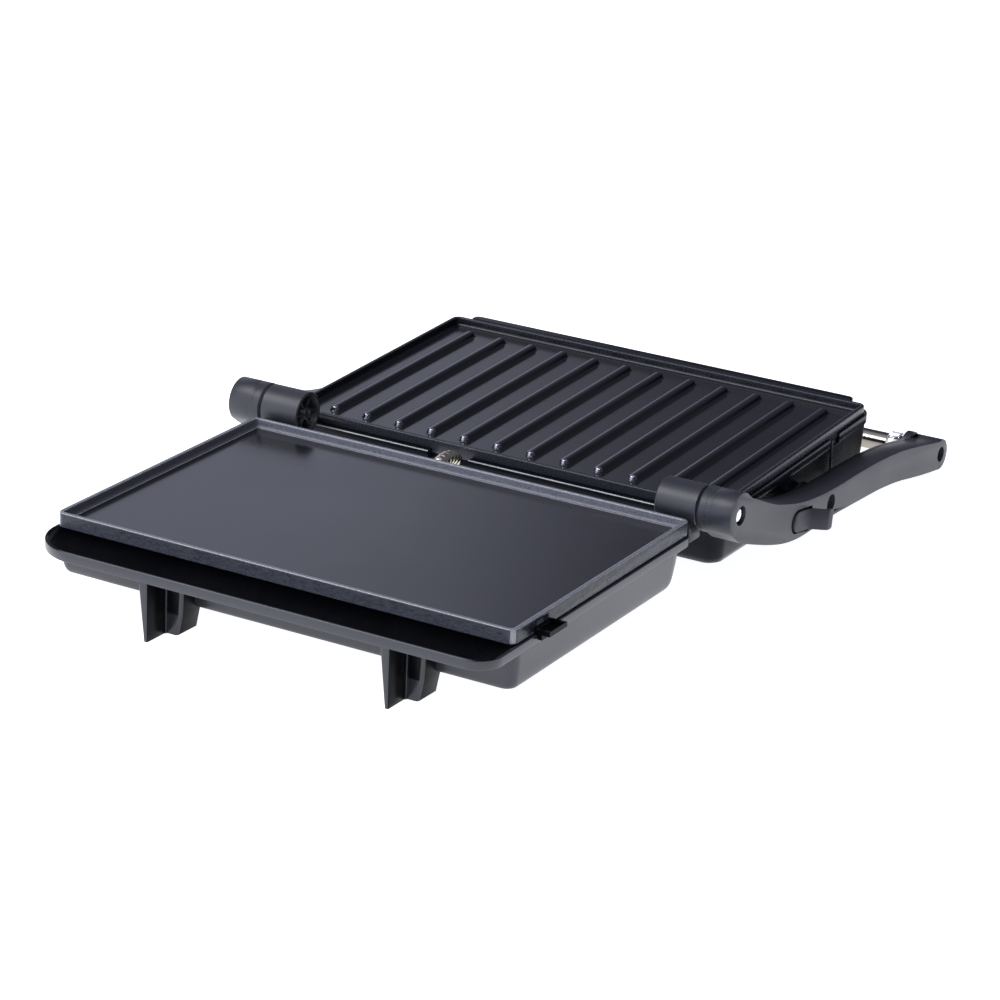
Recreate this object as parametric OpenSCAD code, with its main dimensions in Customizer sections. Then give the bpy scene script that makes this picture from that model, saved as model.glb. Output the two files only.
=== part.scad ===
// Contact grill (panini press) that opens out flat, shown open.
// Millimetres, +Z up. X runs along the hinge, the handle is at +Y.
// The origin is on the table, under the middle of the bounding box.

/* [Cooking plates] */
// Width of each plate along the hinge
plate_w = 284; // [276:1:286]
// Depth of each plate
plate_d = 190.4; // [186:0.2:193]
// Height of the plate casting, rim included
rim_h = 8.4; // [7.8:0.1:9]
// Thickness of the rim wall
rim_t = 2.6; // [2:0.1:3.5]
// Depth of the floor below the top of the rim
floor_drop = 5; // [4.6:0.1:5.4]
// Distance from the hinge axis to each plate
plate_gap = 17.2; // [17:0.1:18]

/* [Ribs] */
// Number of ribs on the lid plate
rib_count = 12; // [8:1:12]
// Distance from one rib to the next
rib_pitch = 22.1; // [18:0.1:22.8]
// Width of a rib
rib_w = 5.4; // [4:0.1:7]
// Height of a rib above the floor
rib_h = 3.2; // [2:0.1:3.6]
// Length of a rib
rib_len = 158.5; // [140:0.5:164]

/* [Base] */
// Height of the hinge axis over the table
hinge_z = 51.7; // [51.7:0.1:53]
// Slope of the base plate towards its front, for draining
drain_slope = 0.73; // [0.5:0.01:0.8]
// Depth of the hinge axis over the rim of the base plate
base_drop = 1.7; // [1.5:0.1:2]
// Reach of the front ledge past the plate
ledge_reach = 27.9; // [25:0.1:30]
// Height of the band round the top of the base shell
band_h = 5.9; // [5:0.1:6.5]
// Depth of the base shell below the hinge axis
base_floor = 37; // [36:0.1:38]
// Wall thickness of the shells
wall = 2.4; // [2:0.1:2.6]

/* [Lid] */
// Slope of the lid against the base when it lies open
lid_slope = 1.92; // [1.8:0.01:2.1]
// Height of the hinge axis over the rim of the lid plate
lid_drop = 5.5; // [5.4:0.1:6]
// Depth of the lid shell below the hinge axis
lid_floor = 45; // [43:0.1:46]
// Distance from the hinge axis to the far wall of the lid
lid_reach = 212.5; // [211:0.5:214]
// Distance from the hinge axis to the float pivot
pivot_y = 117.8; // [114:0.1:122]
// Depth of the float pivot below the hinge axis
pivot_z = -28.8; // [-30:0.1:-28]

/* [Arms and handle] */
// Half width over the outer faces of the arms
arm_x = 163.5; // [162.5:0.5:165]
// Thickness of an arm, inner cover included
arm_t = 16.7; // [16.2:0.1:17]
// Radius of the hinge barrels
barrel_r = 12.9; // [12.6:0.1:13]
// Radius of the handle tube
tube_r = 6.1; // [5.8:0.1:6.3]
// Distance from the hinge axis to the handle tube
tube_y = 275.4; // [273:0.1:277]
// Depth of the handle tube below the hinge axis
tube_z = -45.7; // [-45.7:0.1:-45]
// Reach of the release lever past the arm
lever_out = 9.5; // [8:0.1:10]

/* [Hidden] */
$fn = 64;
cut = 0.5;          // how far a cutting solid runs past a face
gap = 0.2;          // clearance between pieces that are screwed together
run = 0.05;         // radial clearance of a turning pin

shell_x = plate_w / 2 + 1.5;
plate_far = plate_gap + plate_d;
plate_r = 5;
base_rim = -base_drop;
base_seat = base_rim - rim_h;
base_front = -(plate_far + ledge_reach);
base_rear = -plate_gap;
band_floor = base_seat - band_h;
ledge_r = 15;
ledge_r_left = 30;
body_front = -plate_far - 1;
lid_rim = -lid_drop;
lid_under = lid_rim - rim_h;
lid_seat = lid_under + 3.1;
lid_band = lid_seat - band_h;
lid_front = 12;
lid_wall_y = 17.6;
lid_x = shell_x - 0.7;
lip_x = 131;

// rounding of a shell towards its floor: height over the floor, draw-in
round_up = [7, 3.4, 1, 0];
round_in = [2.5, 4, 7, 16];
base_in = [1.6, 2.6, 4.2, 7];

arm_in = arm_x - arm_t;
cover_t = 2.3;
arm_body_in = arm_in + cover_t + gap;
barrel_split = plate_w / 2 + 0.1;
barrel_end = barrel_split - 25.4;
hub_x = barrel_end + 9;
pin_r = 4;
pin_head_x = arm_x - 7.7;
bolt_r = 3;
end_r = 9.4;
tube_stop = arm_x - 7.5;

legs_x = [-62.2, 86.4];
leg_t = 5.6;
leg_foot = -60;
leg_blade_d = 17.5;
leg_box_d = 18.5;

screw_x = 118;
screw_r = 1.6;
screw_head_r = 3.2;
screw_len = 15;
boss_h = 7;
base_screw_y = [-188, -40];
lid_screw_y = [40, 188];
foot_x = 104;
foot_y = -62;
spout_y = -179;
conduit_x = -24;
conduit_r = 4.2;
conduit_bend = 20;
conduit_top = -3.5;
notch_y = 161.5;
lamp_x = 14;
lamp_y = 176;
cord_x = 60;
cord_z = -26;

lever_y = 84;
lever_z = -28.2;
lever_tilt = -9;
lever_half = 6;
lever_t = 2.2;
lever_pin_x = -3.4;
lever_pin_r = 1.2;

x_shift = -lever_out / 2;
y_front = base_front * cos(drain_slope) - base_seat * sin(drain_slope);
y_back = tube_y * cos(drain_slope) - tube_z * sin(drain_slope) + end_r;
y_shift = -(y_front + y_back) / 2;

// stations along an arm: distance from the hinge, height, half depth
arm_path = [
    [0, 0, barrel_r - 1.2],
    [26, -12.6, 12.8],
    [52, -21.8, 11.6],
    [80, -27, 10.6],
    [pivot_y, -29, 8.4],
    [160, -30.5, 9],
    [212, -34.7, 9.4],
    [248, -41.2, 9.4],
    [tube_y, tube_z, end_r - 0.6]
];
last = len(arm_path) - 1;
steps = 5;

function spline(a, b, c, d, t) =
    (2 * b + (c - a) * t + (2 * a - 5 * b + 4 * c - d) * t * t
    + (3 * b - a - 3 * c + d) * t * t * t) / 2;
function station(i) = arm_path[max(0, min(last, i))];
function along(u) =
    let (i = min(last - 1, floor(u)))
    spline(station(i - 1), station(i), station(i + 1), station(i + 2), u - i);
function slope_at(u) =
    let (a = along(max(0, u - 0.02)), b = along(min(last, u + 0.02)))
    atan2(b[1] - a[1], b[0] - a[0]);
function edge_point(u, side) =
    let (p = along(u), a = slope_at(u))
    [p[0] - side * p[2] * sin(a), p[1] + side * p[2] * cos(a)];
function edge_line(side) = [for (k = [0 : last * steps]) edge_point(k / steps, side)];
function flip(list) = [for (k = [len(list) - 1 : -1 : 0]) list[k]];
function ease(t) = let (c = max(0, min(1, t))) c * c * (3 - 2 * c);
function lever_line(x) =
    [for (y = [-14, 2, 3, 4, 5, 6, 7, 8, 9, 10, 11, 12, 16.8])
        [x + (lever_out - 1) * ease((y - 2) / 10), y]];
function lid_skin(y) = -lid_floor / cos(lid_slope) - y * tan(lid_slope);

// ---- frames -------------------------------------------------------------

// frame of the base and the arms: hinge axis along X, base plate level
module hinge_frame() {
    translate([x_shift, y_shift, hinge_z])
        rotate([drain_slope, 0, 0])
            children();
}

// frame of the lid: hinge axis along X, lid plate level
module lid_frame() {
    hinge_frame()
        rotate([lid_slope, 0, 0])
            children();
}

// frame of the release lever: X outwards from the face of the right arm
module lever_frame() {
    hinge_frame()
        translate([arm_x, lever_y, lever_z])
            rotate([lever_tilt, 0, 0])
                children();
}

// whatever is above the table
module above_table() {
    difference() {
        children();
        translate([-300, -400, -100])
            cube([600, 800, 100]);
    }
}

module both_sides() {
    children();
    mirror([1, 0, 0])
        children();
}

// ---- shared shapes ------------------------------------------------------

// plan rectangle with radius r0 at its y0 corners and r1 at its y1 corners;
// left gives its left y0 corner a larger radius
module plan(half, y0, y1, r0, r1, left = 0) {
    rl = max(r0, left);
    translate([-half, y0 + rl])
        square([half + 1, y1 - y0 - rl - r1]);
    translate([-1, y0 + r0])
        square([half + 1, y1 - y0 - r0 - r1]);
    translate([rl - half, y0])
        square([2 * half - rl - r0, rl + 1]);
    translate([r1 - half, y1 - r1 - 1])
        square([2 * (half - r1), r1 + 1]);
    translate([rl - half, y0 + rl])
        circle(rl);
    translate([half - r0, y0 + r0])
        circle(r0);
    both_sides()
        translate([half - r1, y1 - r1])
            circle(r1);
}

module slab(half, y0, y1, r0, r1, z0, z1, left = 0) {
    translate([0, 0, z0])
        linear_extrude(z1 - z0)
            plan(half, y0, y1, r0, r1, left);
}

// round bar along X
module bar_x(x0, x1, r, y = 0, z = 0) {
    translate([x0, y, z])
        rotate([0, 90, 0])
            cylinder(h = x1 - x0, r = r);
}

// round bar along Y
module bar_y(y0, y1, r, x, z) {
    translate([x, y1, z])
        rotate([90, 0, 0])
            cylinder(h = y1 - y0, r = r);
}

// side-view outline pushed out along X
module side_slab(x0, x1) {
    translate([x0, 0, 0])
        rotate([90, 0, 90])
            linear_extrude(x1 - x0)
                children();
}

// body of a shell below its band; inset shrinks it to the hollow inside
module bowl(half, y0, y1, r, top, floor_z, draw, lean, inset) {
    shift = lean == 0 ? 0 : -floor_z * sin(lean);
    $fn = 32;
    hull() {
        slab(half - inset, y0 + inset, y1 - inset, r - inset, r - inset, top, top + 1);
        rotate([-lean, 0, 0])
            for (k = [0 : 3])
                slab(half - inset - draw[k], y0 + shift + inset + draw[k],
                    y1 + shift - inset - draw[k], r - inset, r - inset,
                    floor_z + inset + round_up[k], floor_z + inset + round_up[k] + 0.1);
    }
}

// cooking plate with a rim, its top at the given height
module tray(y0, y1, top) {
    difference() {
        slab(plate_w / 2, y0, y1, plate_r, plate_r, top - rim_h, top);
        slab(plate_w / 2 - rim_t, y0 + rim_t, y1 - rim_t, plate_r - rim_t, plate_r - rim_t,
            top - floor_drop, top + cut);
    }
}

// post under a plate, bored for a screw
module post(x, y, z0, z1) {
    translate([x, y, z0])
        difference() {
            cylinder(h = z1 - z0, r = 4.2);
            translate([0, 0, -cut])
                cylinder(h = 14 + cut, r = screw_r + run);
        }
}

// cross-head screw that points up, from the underside of its head
module screw(x, y, z) {
    translate([x, y, z])
        difference() {
            union() {
                cylinder(h = 2, r = screw_head_r);
                cylinder(h = screw_len, r = screw_r);
            }
            for (a = [0, 90])
                rotate([0, 0, a])
                    translate([-0.5, -2.2, -cut])
                        cube([1, 4.4, 0.8 + cut]);
        }
}

module screw_boss(x, y, z) {
    translate([x, y, z + 1])
        cylinder(h = boss_h - 1, r = 6);
}

module screw_hole(x, y, z) {
    translate([x, y, z - 1])
        cylinder(h = boss_h + 2, r = screw_r + gap);
    translate([x, y, z - 1])
        cylinder(h = 3.8, r = screw_head_r + gap);
}

// heating rod: two runs along X joined by a half ring, a thin pin at each end
module heater(y_mid, z) {
    spread = 47;
    bend_x = -62;
    run_to = 96;
    translate([bend_x, y_mid, z])
        rotate([0, 0, 90])
            rotate_extrude(angle = 180)
                translate([spread, 0])
                    circle(3.3);
    for (side = [-1, 1]) {
        bar_x(bend_x - 0.01, run_to, 3.3, y_mid + side * spread, z);
        bar_x(run_to - 1, run_to + 12, 1.5, y_mid + side * spread, z);
    }
}

// shallow sheet tray under the heating rod, open for the posts
module reflector(y0, y1, z, rows) {
    sheet = 0.8;
    difference() {
        slab(128, y0, y1, 8, 8, z, z + 8);
        slab(128 - sheet, y0 + sheet, y1 - sheet, 8 - sheet, 8 - sheet, z + sheet, z + 9);
        for (x = [-screw_x, screw_x])
            for (y = rows)
                translate([x, y, z - cut])
                    cylinder(h = 2, r = 4.4);
    }
}

// ---- base ---------------------------------------------------------------

module base_bowl(inset) {
    bowl(shell_x - 0.3, body_front, base_rear - 0.6, 10, band_floor, -base_floor, base_in, 0,
        inset);
}

// ledge and band round the top, with the underside of the ledge hollow
module base_band() {
    difference() {
        slab(shell_x, base_front, base_rear, ledge_r, 6, band_floor, base_seat, ledge_r_left);
        slab(117, base_front + wall, body_front, 6, 0.6, band_floor - cut, base_seat - wall);
    }
}

// leg: thin tapered blade under the front of the ledge, drafted box behind it
module leg(x) {
    top = base_seat - 1.5;
    box_y = base_front + leg_blade_d;
    translate([x, box_y, 0])
        rotate([90, 0, 0])
            linear_extrude(leg_blade_d)
                polygon([[-leg_t, band_floor], [0, band_floor], [0, leg_foot], [-1, leg_foot]]);
    translate([x - leg_t + 1, base_front + 1, band_floor - 1])
        cube([leg_t - 1, leg_blade_d - 1, top - band_floor + 1]);
    translate([x, box_y + leg_box_d, 0])
        rotate([90, 0, 0])
            linear_extrude(leg_box_d + 0.5)
                polygon([[-4, top], [11, top], [9.5, -base_floor], [6.8, leg_foot],
                    [-4, leg_foot]]);
}

module base_shell() {
    color([0.22, 0.22, 0.24]) above_table() hinge_frame() difference() {
        union() {
            difference() {
                union() {
                    base_band();
                    base_bowl(0);
                    for (x = legs_x)
                        leg(x);
                }
                base_bowl(wall);
                slab(shell_x - wall, body_front + wall, base_rear - wall, 8, 4,
                    band_floor - cut, base_seat - wall);
            }
            for (x = [-screw_x, screw_x])
                for (y = base_screw_y)
                    screw_boss(x, y, -base_floor);
        }
        slab(plate_w / 2 - 4, -plate_far + 2, base_rear - 5, 4, 4, base_seat - 5, base_seat + cut);
        for (x = [-screw_x, screw_x])
            for (y = base_screw_y)
                screw_hole(x, y, -base_floor);
        bar_y(base_rear - 12, base_rear + 1, 5, cord_x, cord_z);
        translate([conduit_x - 6.5, base_rear - 5.5, -29])
            cube([13, 6, 29]);
    }
}

module base_plate() {
    color([0.27, 0.27, 0.30]) hinge_frame() {
        difference() {
            tray(-plate_far, -plate_gap, base_rim);
            translate([plate_w / 2 - rim_t - cut, spout_y - 6, base_rim - floor_drop])
                cube([rim_t + 2 * cut, 12, 3.4]);
        }
        for (x = [-screw_x, screw_x])
            for (y = base_screw_y)
                post(x, y, -base_floor + boss_h + gap, base_seat + 1);
    }
}

module base_heater() {
    color([0.55, 0.55, 0.57]) hinge_frame()
        heater(-112, base_seat - 3.3 - gap);
}

module base_reflector() {
    color([0.72, 0.72, 0.74]) hinge_frame()
        reflector(-195, -32, base_seat - 16, base_screw_y);
}

module thermostat() {
    color([0.82, 0.78, 0.70]) hinge_frame() translate([20, -112, base_seat - gap]) {
        translate([0, 0, -8])
            cylinder(h = 8, r = 8);
        translate([-12, -5, -1.5])
            cube([24, 10, 1.5]);
        for (x = [-4, 4])
            translate([x - 0.4, -2.4, -13])
                cube([0.8, 4.8, 6]);
    }
}

module base_fuse() {
    color([0.75, 0.75, 0.75]) hinge_frame()
        bar_x(48, 62, 2.2, -112, base_seat - 4);
}

module base_screws() {
    color([0.45, 0.45, 0.47]) hinge_frame()
        for (x = [-screw_x, screw_x])
            for (y = base_screw_y)
                screw(x, y, -base_floor + 0.6);
}

module terminal_block() {
    block_z = -base_floor + wall + gap;
    color([0.88, 0.86, 0.80]) hinge_frame() difference() {
        translate([cord_x - 16, -48, block_z])
            cube([32, 10, 7]);
        for (k = [-1 : 1])
            translate([cord_x + k * 10, -43, block_z + 4])
                cylinder(h = 4, r = 1.8);
    }
}

module cord_inlet() {
    color([0.10, 0.10, 0.11]) hinge_frame() difference() {
        union() {
            bar_y(base_rear - 8, base_rear + 2.7, 4.8, cord_x, cord_z);
            bar_y(base_rear + gap, base_rear + 2.7, 6.6, cord_x, cord_z);
        }
        bar_y(base_rear - 9, base_rear + 3.2, 3.4, cord_x, cord_z);
    }
}

// hooked-on lip that leads the drippings out of the plate
module drip_spout() {
    x0 = plate_w / 2 + 0.15;
    z0 = base_seat + 0.15;
    color([0.04, 0.04, 0.045]) hinge_frame() {
        difference() {
            translate([x0, spout_y - 8.5, z0])
                cube([9, 18, 2.6]);
            translate([x0 - cut, spout_y - 6.5, z0 + 1])
                cube([9, 14, 2]);
        }
        translate([shell_x + 0.3, spout_y - 8, z0 - 3])
            cube([2.6, 15, 3.5]);
    }
}

module rear_feet() {
    foot_top = -base_floor - gap;
    color([0.07, 0.07, 0.07]) above_table() hinge_frame()
        for (x = [-foot_x, foot_x])
            translate([x, foot_y, foot_top - 25])
                cylinder(h = 25, r = 7.5);
}

// hinge barrel of the base: open tube, spoked hub, web to the shell
module base_hinge() {
    r = barrel_r - 0.1;
    difference() {
        union() {
            difference() {
                union() {
                    bar_x(barrel_end, barrel_split - gap, r);
                    translate([barrel_end + 1.5, base_rear + gap, band_floor])
                        cube([barrel_split - barrel_end - 1.7, plate_gap - 4, band_h + 4]);
                }
                bar_x(barrel_end - cut, barrel_split - 4, r - 2.2);
            }
            bar_x(barrel_end + 0.8, hub_x + 1, 3.6);
            bar_x(hub_x, barrel_split - 3.5, 6.4);
            for (a = [30 : 60 : 330])
                rotate([a, 0, 0])
                    translate([barrel_end + 0.8, -0.8, 2.5])
                        cube([18, 1.6, r - 4.4]);
        }
        bar_x(hub_x + 2, barrel_split + 1, pin_r + 0.02);
    }
}

module base_hinge_left() {
    color([0.24, 0.24, 0.26]) hinge_frame()
        mirror([1, 0, 0])
            base_hinge();
}

module base_hinge_right() {
    color([0.24, 0.24, 0.26]) hinge_frame()
        base_hinge();
}

module hinge_pins() {
    color([0.78, 0.78, 0.80]) hinge_frame()
        both_sides() {
            bar_x(hub_x + 2.2, pin_head_x + 0.3, pin_r);
            bar_x(pin_head_x + 0.2, pin_head_x + 2.2, 5.2);
        }
}

// flexible metal conduit that leads the wires over to the lid
module conduit() {
    color([0.80, 0.80, 0.82]) hinge_frame() intersection() {
        translate([conduit_x, 0, conduit_top - conduit_r - conduit_bend])
            rotate([90, 0, 90])
                rotate_extrude(angle = 180)
                    translate([conduit_bend, 0])
                        circle(conduit_r);
        translate([conduit_x - 6, base_rear - 2.8, -27.7])
            cube([12, plate_gap + 14.8, 40]);
    }
}

// ---- arms and handle ----------------------------------------------------

module arm_outline() {
    polygon(concat(edge_line(1), flip(edge_line(-1))));
    translate([tube_y, tube_z])
        circle(end_r);
}

module arm_body() {
    difference() {
        union() {
            side_slab(arm_body_in, arm_x)
                arm_outline();
            bar_x(barrel_split + gap, arm_x, barrel_r);
        }
        bar_x(barrel_split - 1, arm_x + cut, pin_r + run);
        bar_x(pin_head_x, arm_x + cut, 5.6);
        bar_x(arm_body_in - 1, arm_x + cut, bolt_r + 0.02, pivot_y, pivot_z);
        bar_x(arm_x - 6, arm_x + cut, 5.3, pivot_y, pivot_z);
        bar_x(arm_body_in - 1, tube_stop, tube_r + 0.02, tube_y, tube_z);
        bar_x(tube_stop - cut, arm_x + cut, 2.1, tube_y, tube_z);
        bar_x(arm_x - 5.5, arm_x + cut, 4.7, tube_y, tube_z);
    }
}

module arm_left() {
    color([0.32, 0.32, 0.34]) hinge_frame()
        mirror([1, 0, 0])
            arm_body();
}

// the right arm has a pocket for the release lever
module arm_right() {
    color([0.32, 0.32, 0.34]) difference() {
        hinge_frame()
            arm_body();
        lever_frame()
            translate([-6.6, -15.6, -7])
                cube([8, 23.6, 14]);
        lever_frame()
            translate([lever_pin_x, 0, -8.6])
                cylinder(h = 17.2, r = lever_pin_r + 0.02);
    }
}

module arm_cover() {
    difference() {
        union() {
            side_slab(arm_in, arm_in + cover_t)
                arm_outline();
            for (k = [0, 2, 4, 6])
                bar_x(arm_in - 9.3, arm_in + 1, end_r - 0.2, tube_y - k, tube_z + 0.7 * k);
        }
        bar_x(arm_in - cut, arm_body_in + cut, barrel_r + gap);
        bar_x(arm_in - cut, arm_body_in + cut, bolt_r + 0.02, pivot_y, pivot_z);
        bar_x(arm_in - 12, arm_body_in + cut, tube_r + 0.02, tube_y, tube_z);
    }
}

module arm_cover_left() {
    color([0.16, 0.16, 0.17]) hinge_frame()
        mirror([1, 0, 0])
            arm_cover();
}

module arm_cover_right() {
    color([0.16, 0.16, 0.17]) hinge_frame()
        arm_cover();
}

module handle_tube() {
    reach = tube_stop - gap;
    color([0.78, 0.78, 0.79]) hinge_frame() difference() {
        bar_x(-reach, reach, tube_r, tube_y, tube_z);
        bar_x(-reach - cut, reach + cut, tube_r - 1.1, tube_y, tube_z);
    }
}

module tube_plugs() {
    reach = tube_stop - 2 * gap;
    color([0.60, 0.60, 0.60]) hinge_frame()
        both_sides()
            difference() {
                bar_x(reach - 16, reach, tube_r - 1.12, tube_y, tube_z);
                bar_x(reach - 17, reach + cut, 2.02, tube_y, tube_z);
            }
}

module handle_collars() {
    color([0.85, 0.85, 0.86]) hinge_frame()
        both_sides()
            difference() {
                bar_x(arm_in - 17.5, arm_in - 9.5, 7.7, tube_y, tube_z);
                bar_x(arm_in - 18, arm_in - 9, tube_r + 0.02, tube_y, tube_z);
            }
}

module handle_screws() {
    color([0.35, 0.35, 0.37]) hinge_frame()
        both_sides() {
            bar_x(arm_x - 5.4, arm_x - 3, 4.3, tube_y, tube_z);
            bar_x(arm_x - 22, arm_x - 5.3, 2, tube_y, tube_z);
        }
}

// bolts that the lid floats on, with a nut inside the lid
module pivot_bolts() {
    color([0.70, 0.70, 0.72]) hinge_frame()
        both_sides() {
            bar_x(shell_x - 9, arm_x - 5.8, bolt_r, pivot_y, pivot_z);
            bar_x(arm_x - 5.9, arm_x - 3.2, 4.9, pivot_y, pivot_z);
            bar_x(shell_x - 11, shell_x - 8, 5.4, pivot_y, pivot_z);
        }
}

module lever_pin() {
    color([0.70, 0.70, 0.72]) lever_frame()
        translate([lever_pin_x, 0, -8.5])
            cylinder(h = 17, r = lever_pin_r);
}

// torsion spring round the pin, between the two lugs of the lever
module lever_spring() {
    color([0.70, 0.70, 0.72]) lever_frame()
        translate([lever_pin_x, 0, -2.2])
            difference() {
                cylinder(h = 4.4, r = 1.9);
                translate([0, 0, -cut])
                    cylinder(h = 4.4 + 2 * cut, r = lever_pin_r + 0.02);
            }
}

// thumb lever: flat pad over the pocket, S-bend, tab that stands out
module release_lever() {
    lug = 2.6;
    color([0.34, 0.34, 0.36]) lever_frame() difference() {
        union() {
            translate([0, 0, -lever_half])
                linear_extrude(2 * lever_half)
                    polygon(concat(lever_line(1), flip(lever_line(1 - lever_t))));
            for (z = [-lever_half, lever_half - 3.5])
                translate([lever_pin_x, 0, z]) {
                    cylinder(h = 3.5, r = lug);
                    translate([0, -lug, 0])
                        cube([3, 2 * lug, 3.5]);
                }
        }
        translate([lever_pin_x, 0, -lever_half - cut])
            cylinder(h = 2 * (lever_half + cut), r = lever_pin_r + run);
    }
}

// ---- lid ----------------------------------------------------------------

module lid_bowl(inset) {
    bowl(lid_x, lid_wall_y, lid_reach, 9, lid_band - 0.5, -lid_floor, round_in, lid_slope, inset);
}

// square pads in the side walls, for the bushings
module pivot_pads() {
    rotate([-lid_slope, 0, 0])
        both_sides()
            translate([shell_x - 6, pivot_y - 11, pivot_z - 11])
                cube([5.7, 22, 22]);
}

module pivot_bores() {
    rotate([-lid_slope, 0, 0])
        both_sides()
            bar_x(shell_x - 8, shell_x + 2, 7.1, pivot_y, pivot_z);
}

module lid_shell() {
    color([0.17, 0.17, 0.185]) lid_frame() difference() {
        union() {
            difference() {
                union() {
                    slab(shell_x, lid_front, lid_reach + 2, 5, 12, lid_band, lid_seat);
                    slab(lip_x, plate_far + 1, lid_reach + 2, 0.6, 2.8, lid_band, lid_rim);
                    lid_bowl(0);
                }
                lid_bowl(wall);
            }
            for (x = [-screw_x, screw_x])
                for (y = lid_screw_y)
                    screw_boss(x, y, lid_skin(y));
            pivot_pads();
        }
        slab(plate_w / 2 + gap, plate_gap - gap, plate_far + gap, plate_r, plate_r,
            lid_under - gap, lid_seat + cut);
        slab(plate_w / 2 - 5, plate_gap + 5, plate_far - 5, 4, 4, lid_band - 1, lid_seat);
        for (x = [-screw_x, screw_x])
            for (y = lid_screw_y)
                screw_hole(x, y, lid_skin(y));
        pivot_bores();
        for (x = [-lamp_x, lamp_x])
            translate([x, lamp_y, lid_skin(lamp_y) - 2])
                cylinder(h = 8, r = 4.1);
        translate([conduit_x - 19, lid_front - cut, -26])
            cube([27, 13, 26 + lid_seat + cut]);
        translate([shell_x - 1.8, notch_y - 6, lid_band + 1])
            cube([3, 12, band_h]);
    }
}

module rib(x) {
    end = rib_w / 2;
    translate([x, plate_gap + 17.3, lid_rim - floor_drop - 0.5])
        linear_extrude(rib_h + 0.5) {
            translate([-end, end])
                square([rib_w, rib_len - rib_w]);
            translate([0, end])
                circle(end);
            translate([0, rib_len - end])
                circle(end);
        }
}

module lid_plate() {
    color([0.24, 0.24, 0.27]) lid_frame() {
        tray(plate_gap, plate_far, lid_rim);
        for (k = [0 : rib_count - 1])
            rib((k - (rib_count - 1) / 2) * rib_pitch);
        for (x = [-screw_x, screw_x])
            for (y = lid_screw_y)
                post(x, y, lid_skin(y) + boss_h + gap, lid_under + 1);
    }
}

module lid_heater() {
    color([0.55, 0.55, 0.57]) lid_frame()
        heater(112, lid_under - 3.3 - gap);
}

module lid_reflector() {
    color([0.72, 0.72, 0.74]) lid_frame()
        reflector(32, 196, lid_under - 16, lid_screw_y);
}

module lid_fuse() {
    color([0.75, 0.75, 0.75]) lid_frame()
        bar_x(18, 32, 2.2, 112, lid_under - 4);
}

module lid_screws() {
    color([0.45, 0.45, 0.47]) lid_frame()
        for (x = [-screw_x, screw_x])
            for (y = lid_screw_y)
                screw(x, y, lid_skin(y) + 0.6);
}

// sleeves in the walls of the lid that turn on the pivot bolts
module lid_bushings() {
    color([0.82, 0.80, 0.74]) hinge_frame()
        both_sides()
            difference() {
                union() {
                    bar_x(shell_x - 6, arm_in - 0.4, 6.9, pivot_y, pivot_z);
                    bar_x(shell_x + 0.4, shell_x + 1.6, 8.6, pivot_y, pivot_z);
                }
                bar_x(shell_x - 7, arm_in + 1, bolt_r + run, pivot_y, pivot_z);
            }
}

module lamp_lenses() {
    color([0.75, 0.12, 0.08]) lid_frame()
        for (x = [-lamp_x, lamp_x])
            translate([x, lamp_y, lid_skin(lamp_y) - 0.6])
                cylinder(h = 5, r = 4);
}

base_shell();
base_plate();
base_heater();
base_reflector();
thermostat();
base_fuse();
base_screws();
terminal_block();
cord_inlet();
drip_spout();
rear_feet();
base_hinge_left();
base_hinge_right();
hinge_pins();
conduit();
arm_left();
arm_right();
arm_cover_left();
arm_cover_right();
handle_tube();
tube_plugs();
handle_collars();
handle_screws();
pivot_bolts();
lever_pin();
lever_spring();
release_lever();
lid_shell();
lid_plate();
lid_heater();
lid_reflector();
lid_fuse();
lid_screws();
lid_bushings();
lamp_lenses();
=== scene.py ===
import bpy
import bmesh
import math
from mathutils import Matrix, Vector


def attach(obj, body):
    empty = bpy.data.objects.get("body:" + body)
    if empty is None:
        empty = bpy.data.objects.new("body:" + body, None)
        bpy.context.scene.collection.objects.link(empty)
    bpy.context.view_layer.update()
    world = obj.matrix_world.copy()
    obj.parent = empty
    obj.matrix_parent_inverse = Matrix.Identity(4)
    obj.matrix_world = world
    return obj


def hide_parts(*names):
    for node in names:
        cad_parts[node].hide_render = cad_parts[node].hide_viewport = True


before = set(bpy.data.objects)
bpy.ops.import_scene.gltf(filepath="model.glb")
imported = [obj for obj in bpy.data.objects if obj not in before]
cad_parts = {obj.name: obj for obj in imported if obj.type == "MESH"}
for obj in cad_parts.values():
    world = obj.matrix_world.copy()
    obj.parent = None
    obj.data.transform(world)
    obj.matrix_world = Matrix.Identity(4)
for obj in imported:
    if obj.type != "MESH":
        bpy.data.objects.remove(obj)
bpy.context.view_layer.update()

scene = bpy.context.scene

# ---- dimensions -----------------------------------------------------------
# Millimetres from the hinge axis: x to the right, y to the back, z up.
# The lid's values are taken in the lid's own frame, which leans a little.

DRAIN = math.radians(0.73)           # the whole press slopes down towards the front
LEAN = math.radians(1.92)            # the open lid against the base
HINGE_AT = (-4.75, -25.0038, 51.7)   # the middle of the hinge axis in the shared frame

PLATE_HALF = 142.0                   # half width of both cooking plates
PLATE_NEAR, PLATE_FAR = 17.2, 207.6  # their near and far edges, from the hinge axis
SHELL_HALF = 143.5                   # half width of both shells

BASE_RIM_Z = -1.7
BASE_SEAT_Z = -10.1
BASE_BAND_Z = -16.0
BASE_FLOOR_Z = -37.0
LEDGE_FRONT = -235.5
LEDGE_FALL = 2.1                     # drop of the ledge's top towards the plate
BODY_FRONT = -PLATE_FAR - 1
HOLLOW_Z = -12.5                     # roof of the hollow under the ledge
LEG_X = (-62.2, 86.4)                # right faces of the two blades
BLADE_DEPTH = 17.5
LEG_TOP_Z = -12.2
LEG_TIP_Z = -53.0                    # before the tip is trimmed level
TABLE_GAP = 0.0002                   # metres from the table top to the trimmed tip

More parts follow.
